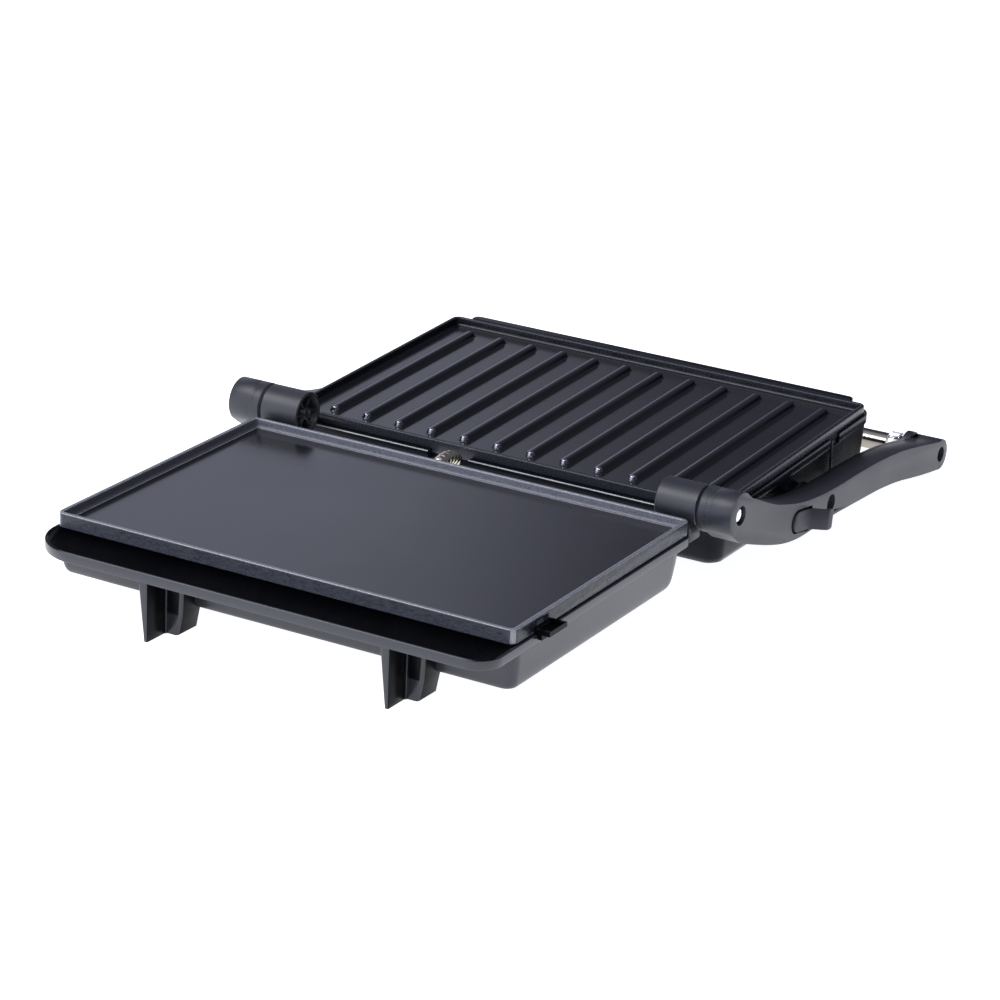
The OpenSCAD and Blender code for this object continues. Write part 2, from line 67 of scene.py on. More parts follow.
LID_RIM_Z = -5.5
LID_SEAT_Z = -10.8
LID_UNDER_Z = -13.9
LID_BAND_Z = -16.7
LID_NEAR, LID_FAR = 12.0, 214.5
LIP_NEAR, LIP_HALF = 208.7, 131.0

RIB_Y = (34.5, 193.0)
RIB_COUNT, RIB_PITCH = 12, 22.1
RIB_END = 2.7                        # from a rib's end to the centre of its round

ARM_IN, ARM_OUT = 146.8, 163.5       # inner and outer faces of an arm with its cover
COVER = 2.3                          # thickness of the dark cover
AXIS = (0, 0)                        # hinge axis, pivot bolt and handle tube in y, z
PIVOT = (117.8, -28.8)
TUBE = (275.4, -45.7)
TUBE_END_R = 9.4
BARREL_R = 12.8
DRUM_R = 12.9

LEVER_AT = (163.5, 84.0, -28.2)
LEVER_TILT = math.radians(-9)
LEVER_HALF = 6.0
LEVER_START = -16.2

# ---- places ---------------------------------------------------------------


def turn(p, angle):
    x, y, z = p
    c, s = math.cos(angle), math.sin(angle)
    return (x, y * c - z * s, y * s + z * c)


def at_hinge(p):
    return Vector([(a + b) / 1000 for a, b in zip(turn(p, DRAIN), HINGE_AT)])


def mirrored(p):
    """hinge frame, mirrored to the left side"""
    return at_hinge((-p[0], p[1], p[2]))


def at_lid(p):
    return at_hinge(turn(p, LEAN))


def at_lever(p):
    return at_hinge([a + b for a, b in zip(turn(p, LEVER_TILT), LEVER_AT)])


def from_world(p, lean=0.0):
    return turn([a * 1000 - b for a, b in zip(p, HINGE_AT)], -DRAIN - lean)


# ---- curves and sections --------------------------------------------------


def clamp(t):
    return max(0.0, min(1.0, t))


def ease(t):
    t = clamp(t)
    return t * t * (3 - 2 * t)


def arc(cy, cz, r, a0, a1, n):
    angles = [math.radians(a0 + (a1 - a0) * k / n) for k in range(n + 1)]
    return [(cy + r * math.cos(a), cz + r * math.sin(a)) for a in angles]


def quarter(r, steps, first=0):
    """inset and rise along a rounded edge, from upright to level"""
    angles = [math.radians(90 * k / steps) for k in range(first, steps + 1)]
    return [(r * (1 - math.cos(a)), r * math.sin(a)) for a in angles]


def catmull(points, per):
    """smooth curve through the points"""
    out = []
    for i in range(len(points) - 1):
        p0 = points[max(0, i - 1)]
        p1, p2 = points[i], points[i + 1]
        p3 = points[min(len(points) - 1, i + 2)]
        for k in range(per):
            t = k / per
            out.append(tuple(0.5 * (2 * b + (c - a) * t + (2 * a - 5 * b + 4 * c - d) * t * t
                                    + (3 * b - a - 3 * c + d) * t ** 3)
                             for a, b, c, d in zip(p0, p1, p2, p3)))
    out.append(tuple(points[-1]))
    return out


def rect_ring(half, y0, y1, r0, r1, z, n=10, left=None):
    """plan rectangle with round corners, r0 at y0 and r1 at y1; left is the left corner's radius at y0"""
    rl = r0 if left is None else left
    corners = ((half - r0, y0 + r0, r0, -90), (half - r1, y1 - r1, r1, 0),
               (-half + r1, y1 - r1, r1, 90), (-half + rl, y0 + rl, rl, 180))
    return [(x, y, z) for cx, cy, r, a0 in corners for x, y in arc(cx, cy, r, a0, a0 + 90, n)]


# ---- mesh helpers ---------------------------------------------------------


def shade(o, angle):
    for p in o.data.polygons:
        p.use_smooth = True
    o.data.set_sharp_from_angle(angle=math.radians(angle))


def make(name, verts, faces, mats, smooth):
    me = bpy.data.meshes.new(name)
    me.from_pydata([tuple(v) for v in verts], [], faces)
    me.validate()
    o = bpy.data.objects.new(name, me)
    scene.collection.objects.link(o)
    bm = bmesh.new()
    bm.from_mesh(me)
    bmesh.ops.remove_doubles(bm, verts=bm.verts, dist=1e-6)
    bmesh.ops.recalc_face_normals(bm, faces=bm.faces)
    bm.to_mesh(me)
    bm.free()
    for m in mats:
        me.materials.append(m)
    shade(o, smooth)
    return o


def bevel(o, width, segments, angle=40):
    m = o.modifiers.new("bevel", "BEVEL")
    m.width = width / 1000
    m.segments = segments
    m.limit_method = "ANGLE"
    m.angle_limit = math.radians(angle)
    m.harden_normals = True
    m.miter_outer = "MITER_ARC"
    return o


def apply_all(o):
    deps = bpy.context.evaluated_depsgraph_get()
    me = bpy.data.meshes.new_from_object(o.evaluated_get(deps))
    o.modifiers.clear()
    old = o.data
    o.data = me
    bpy.data.meshes.remove(old)
    return o


def cut_with(o, cutters):
    for c in cutters:
        m = o.modifiers.new("cut", "BOOLEAN")
        m.operation = "DIFFERENCE"
        m.solver = "EXACT"
        m.object = c
    apply_all(o)
    for c in cutters:
        bpy.data.objects.remove(c)
    shade(o, 30)
    return o


def loft(name, rings, place, mats, smooth=35):
    """skin over rings of equal count, capped at both ends"""
    n = len(rings[0])
    last = (len(rings) - 1) * n
    verts = [place(p) for ring in rings for p in ring]
    faces = []
    for a in range(0, last, n):
        b = a + n
        for k in range(n):
            faces.append((a + k, a + (k + 1) % n, b + (k + 1) % n, b + k))
    faces.append(tuple(range(n)))
    faces.append(tuple(last + k for k in range(n)))
    return make(name, verts, faces, mats, smooth)


def lathe_x(name, profile, place, mats, at=AXIS, n=64, smooth=30):
    """profile of (x, radius) turned about an axis along X"""
    rings = []
    for x, r in profile:
        rings.append([(x, at[0] + r * math.cos(2 * math.pi * k / n),
                       at[1] + r * math.sin(2 * math.pi * k / n)) for k in range(n)])
    return loft(name, rings, place, mats, smooth=smooth)


def prism(name, outline, lo, hi, place, mats, axis="x"):
    """2-D outline pushed out along X (outline in y, z) or Z (outline in x, y)"""
    n = len(outline)
    if axis == "x":
        verts = [place((x, a, b)) for x in (lo, hi) for a, b in outline]
    else:
        verts = [place((a, b, z)) for z in (lo, hi) for a, b in outline]
    faces = [(k, (k + 1) % n, n + (k + 1) % n, n + k) for k in range(n)]
    faces += [tuple(range(n)), tuple(n + k for k in range(n))]
    return make(name, verts, faces, mats, 30)


def brick(name, lo, hi, place, mats):
    x0, y0, z0 = lo
    x1, y1, z1 = hi
    return prism(name, [(y0, z0), (y1, z0), (y1, z1), (y0, z1)], x0, x1, place, mats)


def join(objs, name, smooth=None):
    """one mesh from several; modifiers are applied first, and smooth shades it anew"""
    bm = bmesh.new()
    mats = []
    for o in objs:
        if o.modifiers:
            apply_all(o)
        index = []
        for m in o.data.materials:
            if m not in mats:
                mats.append(m)
            index.append(mats.index(m))
        start = len(bm.faces)
        bm.from_mesh(o.data)
        bm.faces.ensure_lookup_table()
        for f in bm.faces[start:]:
            f.material_index = index[f.material_index]
    me = bpy.data.meshes.new(name)
    bm.to_mesh(me)
    bm.free()
    for m in mats:
        me.materials.append(m)
    for o in objs:
        bpy.data.objects.remove(o)
    out = bpy.data.objects.new(name, me)
    scene.collection.objects.link(out)
    if smooth:
        shade(out, smooth)
    return out


def paint(o, mat, test, lean=0.0):
    """gives mat to the faces that pass test(centre, face), the centre in the hinge or lid frame"""
    if mat.name not in o.data.materials:
        o.data.materials.append(mat)
    index = o.data.materials.find(mat.name)
    for face in o.data.polygons:
        if test(from_world(face.center, lean), face):
            face.material_index = index


def show(o, body, node):
    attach(o, body)
    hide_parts(node)


# ---- materials ------------------------------------------------------------

EDGE_WEAR_GLINT_FROM, EDGE_WEAR_GLINT_TO = 0.51, 0.57      # pointiness at which the paler edges begin and are full; partly wear, partly a painted glint


def new_mat(name):
    m = bpy.data.materials.new(name)
    m.use_nodes = True
    return m, m.node_tree.nodes, m.node_tree.links, m.node_tree.nodes["Principled BSDF"]


def surface(name, dark, light, rough, rough_spread, scale, grain, grain_depth, metallic=0.0,
            specular=0.5, coat=0.0, edge_wear_glint=None, stretch=(1, 1, 1)):
    """mottled colour, uneven roughness and a fine grain, all in the object's own space"""
    m, nodes, links, bsdf = new_mat(name)
    co = nodes.new("ShaderNodeTexCoord")
    mp = nodes.new("ShaderNodeMapping")
    mp.inputs["Scale"].default_value = stretch
    links.new(co.outputs["Object"], mp.inputs["Vector"])
    big = nodes.new("ShaderNodeTexNoise")
    big.inputs["Scale"].default_value = scale
    big.inputs["Detail"].default_value = 4
    links.new(mp.outputs[0], big.inputs["Vector"])
    ramp = nodes.new("ShaderNodeValToRGB")
    ramp.color_ramp.elements[0].position = 0.3
    ramp.color_ramp.elements[1].position = 0.7
    ramp.color_ramp.elements[0].color = (*dark, 1)
    ramp.color_ramp.elements[1].color = (*light, 1)
    links.new(big.outputs["Fac"], ramp.inputs["Fac"])
    colour = ramp.outputs["Color"]
    fine = nodes.new("ShaderNodeTexNoise")
    fine.inputs["Scale"].default_value = grain
    fine.inputs["Detail"].default_value = 2
    links.new(mp.outputs[0], fine.inputs["Vector"])
    gloss = nodes.new("ShaderNodeMapRange")
    gloss.inputs["From Min"].default_value = 0.3
    gloss.inputs["From Max"].default_value = 0.7
    gloss.inputs["To Min"].default_value = max(0.02, rough - rough_spread)
    gloss.inputs["To Max"].default_value = rough + rough_spread
    links.new(big.outputs["Fac"], gloss.inputs["Value"])
    bump = nodes.new("ShaderNodeBump")
    bump.inputs["Strength"].default_value = 1.0
    bump.inputs["Distance"].default_value = grain_depth / 1000
    links.new(fine.outputs["Fac"], bump.inputs["Height"])
    links.new(bump.outputs["Normal"], bsdf.inputs["Normal"])
    links.new(gloss.outputs[0], bsdf.inputs["Roughness"])
    # paler colour on convex edges, broken up by the grain: partly edge wear, partly a painted glint
    if edge_wear_glint:
        geo = nodes.new("ShaderNodeNewGeometry")
        edge = nodes.new("ShaderNodeMapRange")
        edge.inputs["From Min"].default_value = EDGE_WEAR_GLINT_FROM
        edge.inputs["From Max"].default_value = EDGE_WEAR_GLINT_TO
        links.new(geo.outputs["Pointiness"], edge.inputs["Value"])
        mul = nodes.new("ShaderNodeMath")
        mul.operation = "MULTIPLY"
        links.new(edge.outputs[0], mul.inputs[0])
        links.new(fine.outputs["Fac"], mul.inputs[1])
        mix = nodes.new("ShaderNodeMix")
        mix.data_type = "RGBA"
        links.new(mul.outputs[0], mix.inputs["Factor"])
        links.new(colour, mix.inputs["A"])
        mix.inputs["B"].default_value = (*edge_wear_glint, 1)
        colour = mix.outputs["Result"]
    links.new(colour, bsdf.inputs["Base Color"])
    bsdf.inputs["Metallic"].default_value = metallic
    bsdf.inputs["Specular IOR Level"].default_value = specular
    bsdf.inputs["Coat Weight"].default_value = coat
    bsdf.inputs["Coat Roughness"].default_value = 0.05 if coat else 0.1
    return m


# coated castings: floor, outer wall, a lighter copy of the rim colour for the base plate's tops and inner
# walls (painted light), the lid plate's rim, painted highlight lines along the rim edges, and rib ends made
# shiny metal to stand in for glints
PLATE = surface("plate_coating", (0.0085, 0.0085, 0.0125), (0.0115, 0.0115, 0.0165), 0.17, 0.03, 14,
                1400, 0.004)
RIM = surface("plate_rim", (0.0035, 0.004, 0.0065), (0.013, 0.0145, 0.021), 0.30, 0.12, 420,
              1100, 0.07, edge_wear_glint=(0.14, 0.15, 0.18), stretch=(0.6, 0.6, 1.3), specular=0.25)
RIM_LIT_COPY = surface("plate_rim_lit_copy", (0.045, 0.048, 0.066), (0.15, 0.155, 0.18), 0.36, 0.10, 1500,
                  1900, 0.06, edge_wear_glint=(0.60, 0.62, 0.65))
RIM_LID = surface("plate_rim_lid", (0.0025, 0.003, 0.005), (0.009, 0.010, 0.015), 0.26, 0.08, 700,
                  1500, 0.022, edge_wear_glint=(0.10, 0.105, 0.13), specular=0.3)
RIM_EDGE_HIGHLIGHT = surface("rim_edge_painted_highlight", (0.10, 0.105, 0.125), (0.40, 0.41, 0.44), 0.32, 0.10, 1300,
                   1900, 0.05)
RIB_TIP_GLINT = surface("rib_tip_glint", (0.20, 0.20, 0.23), (0.26, 0.26, 0.29), 0.20, 0.04, 300,
                  1500, 0.003, metallic=1.0)
# plastics and rubber, with a painted highlight line on the lid's front edge and the red lamps
LID_EDGE_HIGHLIGHT = surface("lid_edge_painted_highlight", (0.26, 0.26, 0.25), (0.42, 0.42, 0.40), 0.22, 0.05, 120,
                   900, 0.01)
SHELL = surface("shell_plastic", (0.018, 0.0195, 0.025), (0.023, 0.025, 0.032), 0.27, 0.05, 18,
                2600, 0.010)
LEDGE = surface("ledge_gloss", (0.0015, 0.0015, 0.0025), (0.003, 0.003, 0.004), 0.16, 0.03, 30,
                300, 0.003, specular=0.05)
LEG = surface("leg_shadow_plastic", (0.002, 0.002, 0.003), (0.004, 0.004, 0.006), 0.35, 0.05, 30,
              1800, 0.008, specular=0.10)
ARM = surface("arm_plastic", (0.021, 0.022, 0.029), (0.028, 0.029, 0.038), 0.40, 0.05, 22,
              2600, 0.010, specular=0.40)
HINGE = surface("hinge_plastic", (0.019, 0.020, 0.026), (0.026, 0.027, 0.034), 0.42, 0.05, 25,
                2600, 0.012)
DARK = surface("dark_plastic", (0.010, 0.010, 0.012), (0.015, 0.015, 0.018), 0.42, 0.06, 25,
               2600, 0.012)
LID = surface("lid_plastic", (0.004, 0.005, 0.009), (0.006, 0.0072, 0.013), 0.26, 0.06, 20,
              2600, 0.004, specular=0.12)
CREAM = surface("cream_plastic", (0.60, 0.56, 0.47), (0.68, 0.64, 0.55), 0.5, 0.06, 40,
                1500, 0.015)
RUBBER = surface("foot_rubber", (0.010, 0.010, 0.010), (0.018, 0.018, 0.018), 0.75, 0.1, 60,
                 1500, 0.03)
LAMP = surface("lamp_red", (0.42, 0.015, 0.01), (0.50, 0.03, 0.02), 0.15, 0.04, 60,
               400, 0.006, coat=0.6)
# metals
STEEL = surface("tube_steel", (0.26, 0.235, 0.20), (0.40, 0.37, 0.32), 0.20, 0.06, 90,
                500, 0.006, metallic=1.0, stretch=(0.05, 1, 1))
CHROME = surface("chrome", (0.70, 0.70, 0.72), (0.80, 0.80, 0.82), 0.12, 0.04, 60,
                 400, 0.003, metallic=1.0)
HOSE = surface("hose_metal", (0.55, 0.48, 0.36), (0.78, 0.72, 0.60), 0.16, 0.05, 60,
               400, 0.003, metallic=1.0)
DULL_STEEL = surface("dull_steel", (0.40, 0.40, 0.42), (0.55, 0.55, 0.57), 0.38, 0.08, 120,
                     900, 0.01, metallic=1.0)
BLACK_STEEL = surface("black_steel", (0.10, 0.10, 0.11), (0.16, 0.16, 0.17), 0.38, 0.08, 120,
                      900, 0.01, metallic=1.0)
SHEATH = surface("heater_sheath", (0.16, 0.15, 0.15), (0.24, 0.23, 0.22), 0.5, 0.1, 80,
                 700, 0.02, metallic=1.0)
SHEET = surface("sheet_steel", (0.55, 0.55, 0.56), (0.66, 0.66, 0.67), 0.28, 0.06, 70,
                300, 0.01, metallic=1.0, stretch=(0.1, 1, 1))

# ---- base shell -----------------------------------------------------------


def base_body():
    """lower body: steep walls with a rounded bottom edge"""
    wall = catmull([(7.0, -37.0), (4.3, -36.1), (2.9, -34.2), (2.0, -30.5), (1.2, -24), (0.4, -15.9)], 5)
    rings = [rect_ring(100, -170, -48, 8, 8, BASE_FLOOR_Z)]
    for inset, z in wall:
        rings.append(rect_ring(SHELL_HALF - inset, BODY_FRONT + inset, -PLATE_NEAR - 0.4 - inset,
                               7 - inset * 0.3, 20 - inset * 0.3, z))
    return loft("base_body", rings, at_hinge, [SHELL], smooth=28)


def band_ring(inset, z, rear=None):
    """plan of the band and the ledge; the left front corner is the roundest"""
    rear = inset if rear is None else rear
    return rect_ring(SHELL_HALF - inset, LEDGE_FRONT + inset, -PLATE_NEAR - rear, 15 - inset, 6 - rear, z,
                     n=14, left=30 - inset)


def base_band():
    """band round the top, with the ledge that reaches out in front"""
    rings = [rect_ring(120, -180, -48, 8, 8, BASE_BAND_Z, n=14)]
    rings += [band_ring(inset, BASE_BAND_Z + rise) for inset, rise in ((0.9, 0), (0.35, 0.25), (0, 0.9))]
    rings += [band_ring(inset, BASE_SEAT_Z - 0.8 + rise) for inset, rise in quarter(0.8, 4)]
    rings.append(band_ring(1.3, BASE_SEAT_Z))
    # inside the narrow lip the ledge slopes down towards the plate
    rings.append([(x, y, z - LEDGE_FALL * clamp((-PLATE_FAR - 0.5 - y) / 25))
                  for x, y, z in band_ring(1.9, BASE_SEAT_Z, rear=1.6)])
    rings.append(rect_ring(139, -PLATE_FAR + 2, -PLATE_NEAR - 4.5, 4, 4, BASE_SEAT_Z, n=14))
    rings.append(rect_ring(138.6, -PLATE_FAR + 2.5, -PLATE_NEAR - 5, 4, 4, BASE_SEAT_Z - 4, n=14))
    band = loft("base_band", rings, at_hinge, [SHELL, LEDGE], smooth=28)
    hollow = brick("cut_ledge", (-117, -233.1, -17), (117, BODY_FRONT, HOLLOW_Z), at_hinge, [SHELL])
    band = cut_with(band, [hollow])
    # the top of the ledge is glossy black
    paint(band, LEDGE, lambda c, face: face.normal.z > 0.5 and c[2] > BASE_SEAT_Z - 2.4
          and abs(c[0]) < SHELL_HALF - 1.3 and c[1] > LEDGE_FRONT + 1.4)
    return band


def leg(x):
    """front leg: tapered blade, drafted box behind it, and a thin rib where the two meet"""
    front, back = LEDGE_FRONT, LEDGE_FRONT + BLADE_DEPTH
    rings = []
    for z, left in ((-15.4, -5.6), (-17, -5.5), (-24, -4.75), (-34, -3.7), (-45, -2.55), (LEG_TIP_Z, -1.7)):
        rings.append([(x + left, front, z), (x, front, z), (x, back, z), (x + left, back, z)])
    blade = bevel(loft("blade", rings, at_hinge, [SHELL]), 0.6, 3)
    rings = []
    for z, right in ((LEG_TIP_Z, 6.9), (-48.6, 7.3), (-42, 8.6), (-37, 9.6), (LEG_TOP_Z, 11)):
        y0, y1 = back - 0.5, back + 18.5
        rings.append([(x - 3.9, y0, z), (x + right, y0, z), (x + right, y1, z), (x - 3.9, y1, z)])
    box = bevel(loft("box", rings, at_hinge, [SHELL]), 1.7, 4)
    fin = brick("fin", (x - 0.2, back - 1.6, -50.2), (x + 0.9, back + 0.4, LEG_TOP_Z), at_hinge, [SHELL])
    # the root of the blade goes up into the hollow of the ledge
    root = brick("root", (x - 4.6, front + 1, -16.5), (x - 0.1, back, LEG_TOP_Z), at_hinge, [SHELL])
    return [blade, box, bevel(fin, 0.3, 2), root]


def conduit_slot():
    return brick("cut_conduit", (-30.5, -22.7, -29), (-17.5, -16, -5), at_hinge, [SHELL])


def leg_in_shadow(c, face):
    """inner faces of the legs and their boxes, but not the front faces or the thin rib's edge"""
    if not any(x - 5.9 < c[0] < x + 12.5 for x in LEG_X):
        return False
    if c[2] > BASE_BAND_Z + 4 or c[1] > LEDGE_FRONT + 38 or face.normal.x < -0.5:
        return False
    if face.normal.y < -0.75 and c[1] < LEDGE_FRONT + 8:
        return False
    fin_edge = abs(c[1] - (LEDGE_FRONT + 17)) < 1.4 and c[2] < -20 and face.area < 1.2e-4
    ledge_side = c[2] > BASE_BAND_Z - 0.4 and face.normal.z > -0.9
    return not fin_edge and not ledge_side


def under_ledge(c, face):
    return (LEDGE_FRONT + 2.6 < c[1] < BODY_FRONT - 0.5 and abs(c[0]) < 118
            and BASE_BAND_Z - 0.5 < c[2] < HOLLOW_Z + 0.5 and face.normal.z < 0.5)


def trim_at_table(o):
    """cuts off what reaches below the table top and closes the cut"""
    bm = bmesh.new()
    bm.from_mesh(o.data)
    geom = bm.verts[:] + bm.edges[:] + bm.faces[:]
    out = bmesh.ops.bisect_plane(bm, geom=geom, plane_co=(0, 0, TABLE_GAP), plane_no=(0, 0, -1),
                                 clear_outer=True)
    edges = [e for e in out["geom_cut"] if isinstance(e, bmesh.types.BMEdge)]
    bmesh.ops.edgenet_fill(bm, edges=edges)
    bm.to_mesh(o.data)
    bm.free()


pieces = [cut_with(base_body(), [conduit_slot()]), cut_with(base_band(), [conduit_slot()])]
for x in LEG_X:
    pieces += leg(x)
shell = join(pieces, "base_shell_detail")
paint(shell, LEG, leg_in_shadow)
paint(shell, LEG, under_ledge)
trim_at_table(shell)
shade(shell, 30)
show(shell, "base", "base_shell")

# ---- plates ---------------------------------------------------------------


def tray_rings(y0, y1, top):
    """section of a plate: outer wall, rounded rim, sloping inner wall, fillet, floor"""
    def ring(inset, z):
        r = max(0.6, 5.0 - inset)
        return rect_ring(PLATE_HALF - inset, y0 + inset, y1 - inset, r, r, z)
    out = [ring(4.0, top - 8.4), ring(0.5, top - 8.4), ring(0.0, top - 7.9), ring(0.0, top - 1.0)]
    out += [ring(inset, top - 0.8 + rise) for inset, rise in quarter(0.8, 4, 1)]
    out.append(ring(2.0, top))
    out += [ring(2.0 + rise, top - inset) for inset, rise in quarter(0.6, 3, 1)]
    out.append(ring(2.9, top - 3.2))
    out += [ring(2.9 + inset, top - 3.2 - rise) for inset, rise in quarter(1.8, 5, 1)]
    out.append(ring(9.0, top - 5.0))
    return out


def paint_rim(o, y0, y1, top, wall, rim, edge_highlight=None, lean=0.0):
    """materials of the outer walls, of the top and inner walls, and of painted highlight lines along the
    edges
    """
    def inset(c):
        return min(PLATE_HALF - abs(c[0]), c[1] - y0, y1 - c[1])
    paint(o, rim, lambda c, face: inset(c) < 4.9, lean)
    paint(o, wall, lambda c, face: inset(c) < 0.5 and c[2] < top - 0.3, lean)
    # painted highlight lines on the outer and inner top edges and at the foot of the inner wall
    if edge_highlight:
        paint(o, edge_highlight, lambda c, face: inset(c) < 0.6 and c[2] > top - 0.45
              or 2.0 < inset(c) < 2.75 and c[2] > top - 0.75
              or 4.15 < inset(c) < 4.8 and c[2] < top - 4.2, lean)


def rib(x):
    """straight rib with round ends, which take a shiny metal that stands in for glints"""
    y0, y1 = RIB_Y
    rings = []
    for w, z in ((4.0, -10.6), (3.45, -10.3), (2.95, -9.6), (2.6, -8.2),
                 (2.2, -7.6), (1.5, -7.35), (0.5, -7.28)):
        outline = arc(x, y0 + RIB_END, w, 180, 360, 12) + arc(x, y1 - RIB_END, w, 0, 180, 12)
        rings.append([(px, py, z) for px, py in outline])
    o = loft("rib", rings, at_lid, [PLATE, RIB_TIP_GLINT], smooth=60)
    # the faces at both round ends take a shiny metal: painted glints
    paint(o, RIB_TIP_GLINT, lambda c, face: (c[1] < y0 + 2.2 or c[1] > y1 - 2.2) and -9.9 < c[2] < -7.3, LEAN)
    return o


base_tray = loft("base_tray", tray_rings(-PLATE_FAR, -PLATE_NEAR, BASE_RIM_Z), at_hinge,
                 [PLATE, RIM, RIM_LIT_COPY, RIM_EDGE_HIGHLIGHT], smooth=50)
# the base plate's tops and inner walls take a lighter copy of the rim colour, painted light where the light
# falls on them
paint_rim(base_tray, -PLATE_FAR, -PLATE_NEAR, BASE_RIM_Z, RIM, RIM_LIT_COPY, RIM_EDGE_HIGHLIGHT)
base_tray = cut_with(base_tray, [brick("cut_drip", (138.5, -185, -6.6), (143, -173, -3.3), at_hinge, [RIM])])
show(base_tray, "base", "base_plate")

lid_tray = loft("lid_tray", tray_rings(PLATE_NEAR, PLATE_FAR, LID_RIM_Z), at_lid,
                [PLATE, RIM_LID], smooth=50)
paint_rim(lid_tray, PLATE_NEAR, PLATE_FAR, LID_RIM_Z, RIM_LID, RIM_LID, lean=LEAN)
ribs = [rib((k - (RIB_COUNT - 1) / 2) * RIB_PITCH) for k in range(RIB_COUNT)]
lid_plate = join([lid_tray] + ribs, "lid_plate_detail", 50)
show(lid_plate, "lid", "lid_plate")

# ---- lid shell ------------------------------------------------------------


def lid_lower():
    """lower lid body: its bottom runs in line with the base although the lid leans"""
    rings = []
    for inset, z in ((42, -45.0), (16, -45.0), (8.5, -44.4), (4.6, -42.3), (2.6, -38.5), (1.6, -30)):
        r = 10 - min(6, inset * 0.4)
        ring = rect_ring(142.8 - inset, 17.6 + inset, 212.7 - inset, r, r, z)
        rings.append([(x, y, z - y * math.tan(LEAN)) for x, y, _ in ring])
    rings.append(rect_ring(142.6, 17.8, 212.4, 10, 10, LID_BAND_Z - 1))
    rings.append(rect_ring(142.8, 17.2, 212.7, 10, 10, LID_BAND_Z - 0.2))
    return loft("lid_lower", rings, at_lid, [LID], smooth=40)


def lid_band():
    """band round the lid, notched for the guide and the conduit, with a painted highlight line along its
    front edge
    """
    def ring(inset, z, near=LID_NEAR, far=LID_FAR):
        return rect_ring(SHELL_HALF - inset, near + inset, far - inset, 5 - inset, 12 - inset, z)
    rings = [rect_ring(137, 22, 203, 4, 4, LID_BAND_Z)]
    rings.append(rect_ring(SHELL_HALF - 0.4, LID_NEAR + 0.4, LID_FAR - 0.4, 5, 12, LID_BAND_Z))
    rings.append(ring(0, LID_BAND_Z + 0.4))
    rings += [ring(inset, LID_SEAT_Z - 0.55 + rise) for inset, rise in quarter(0.55, 3)]
    for z in (LID_SEAT_Z, LID_UNDER_Z - 0.3):
        rings.append(rect_ring(PLATE_HALF + 0.25, PLATE_NEAR - 0.25, PLATE_FAR + 0.25, 5, 5, z))
    o = loft("lid_band", rings, at_lid, [LID])
    o = cut_with(o, [brick("cut_notch", (142.0, 155.5, -18), (145, 167.5, -5), at_lid, [LID]),
                     brick("cut_conduit", (-43, 11, -20), (-16, 17.3, -5), at_lid, [LID])])
    # the upper faces of the front edge take a light grey: a painted highlight line
    paint(o, LID_EDGE_HIGHLIGHT, lambda c, face: c[1] < LID_NEAR + 0.7 and abs(c[0]) < 136
          and c[2] > LID_SEAT_Z - 0.5, LEAN)
    return o


def lid_lip():
    """upright lip along the lid's far edge"""
    rings = [rect_ring(LIP_HALF, LIP_NEAR, LID_FAR, 0.8, 4.0, z) for z in (LID_BAND_Z, LID_RIM_Z - 0.8)]
    for inset, rise in quarter(0.8, 3, 1):
        rings.append(rect_ring(LIP_HALF - inset, LIP_NEAR + inset * 0.4, LID_FAR - inset, 0.7, 3.6,
                               LID_RIM_Z - 0.8 + rise))
    return loft("lip", rings, at_lid, [LID], smooth=40)


guide = bevel(brick("guide", (142.6, 157.2, -34), (143.6, 159.0, -12), at_lid, [LID]), 0.3, 2)
lid_shell = join([lid_lower(), lid_band(), lid_lip(), guide], "lid_shell_detail", 35)
show(lid_shell, "lid", "lid_shell")

# ---- arms -----------------------------------------------------------------

ARM_TOP = [(8.5, 9.7), (13.2, 6.4), (20, 3.4), (33, -2.4), (48.8, -8.6), (75.8, -15.8), (101.8, -19.6),
           (128.8, -21.2), (155.8, -21.7), (182.8, -22.9), (211.8, -25.6), (236, -29.6), (262, -34.8),
           (272.5, -36.7)]
ARM_BOTTOM = [(274.5, -55.05), (252, -51.6), (232, -48), (212, -44.3), (186.8, -41.3), (158.8, -39.5),
              (120.8, -37.5), (95.8, -37.6), (78.8, -37.4), (65.8, -36.0), (52.8, -33.4), (38, -29.2),
              (25.8, -25.2), (12, -20.4), (1.0, -16.2), (-6.5, -11.2)]
CLOSEST = 0.35                       # outline points nearer to each other than this are merged


def arm_outline():
    """long bowed side view: round at the hinge and at the handle tube"""
    points = catmull(ARM_TOP, 5) + arc(*TUBE, TUBE_END_R, 78, -82, 16)
    points += catmull(ARM_BOTTOM, 5) + arc(*AXIS, DRUM_R, 242, 52, 30)
    out = []
    for p in points:
        if not out or math.dist(p, out[-1]) > CLOSEST:
            out.append(p)
    while math.dist(out[0], out[-1]) < CLOSEST:
        out.pop()
    return out


def bore(x, r, at, place):
    """cutter that opens the arm's outer face as far in as x"""
    return lathe_x("cut_bore", [(x, r), (ARM_OUT + 1.5, r)], place, [DARK], at, 40)


def lever_pocket():
    """pocket in the right arm, round at the end towards the hinge"""
    round_end = [(-11.0 - 6.8 * math.sin(math.radians(a)), 7 * math.cos(math.radians(a)))
                 for a in range(0, 181, 15)]
    return prism("cut_lever", [(8, -7), (8, 7)] + round_end, -6.6, 1.4, at_lever, [DARK])


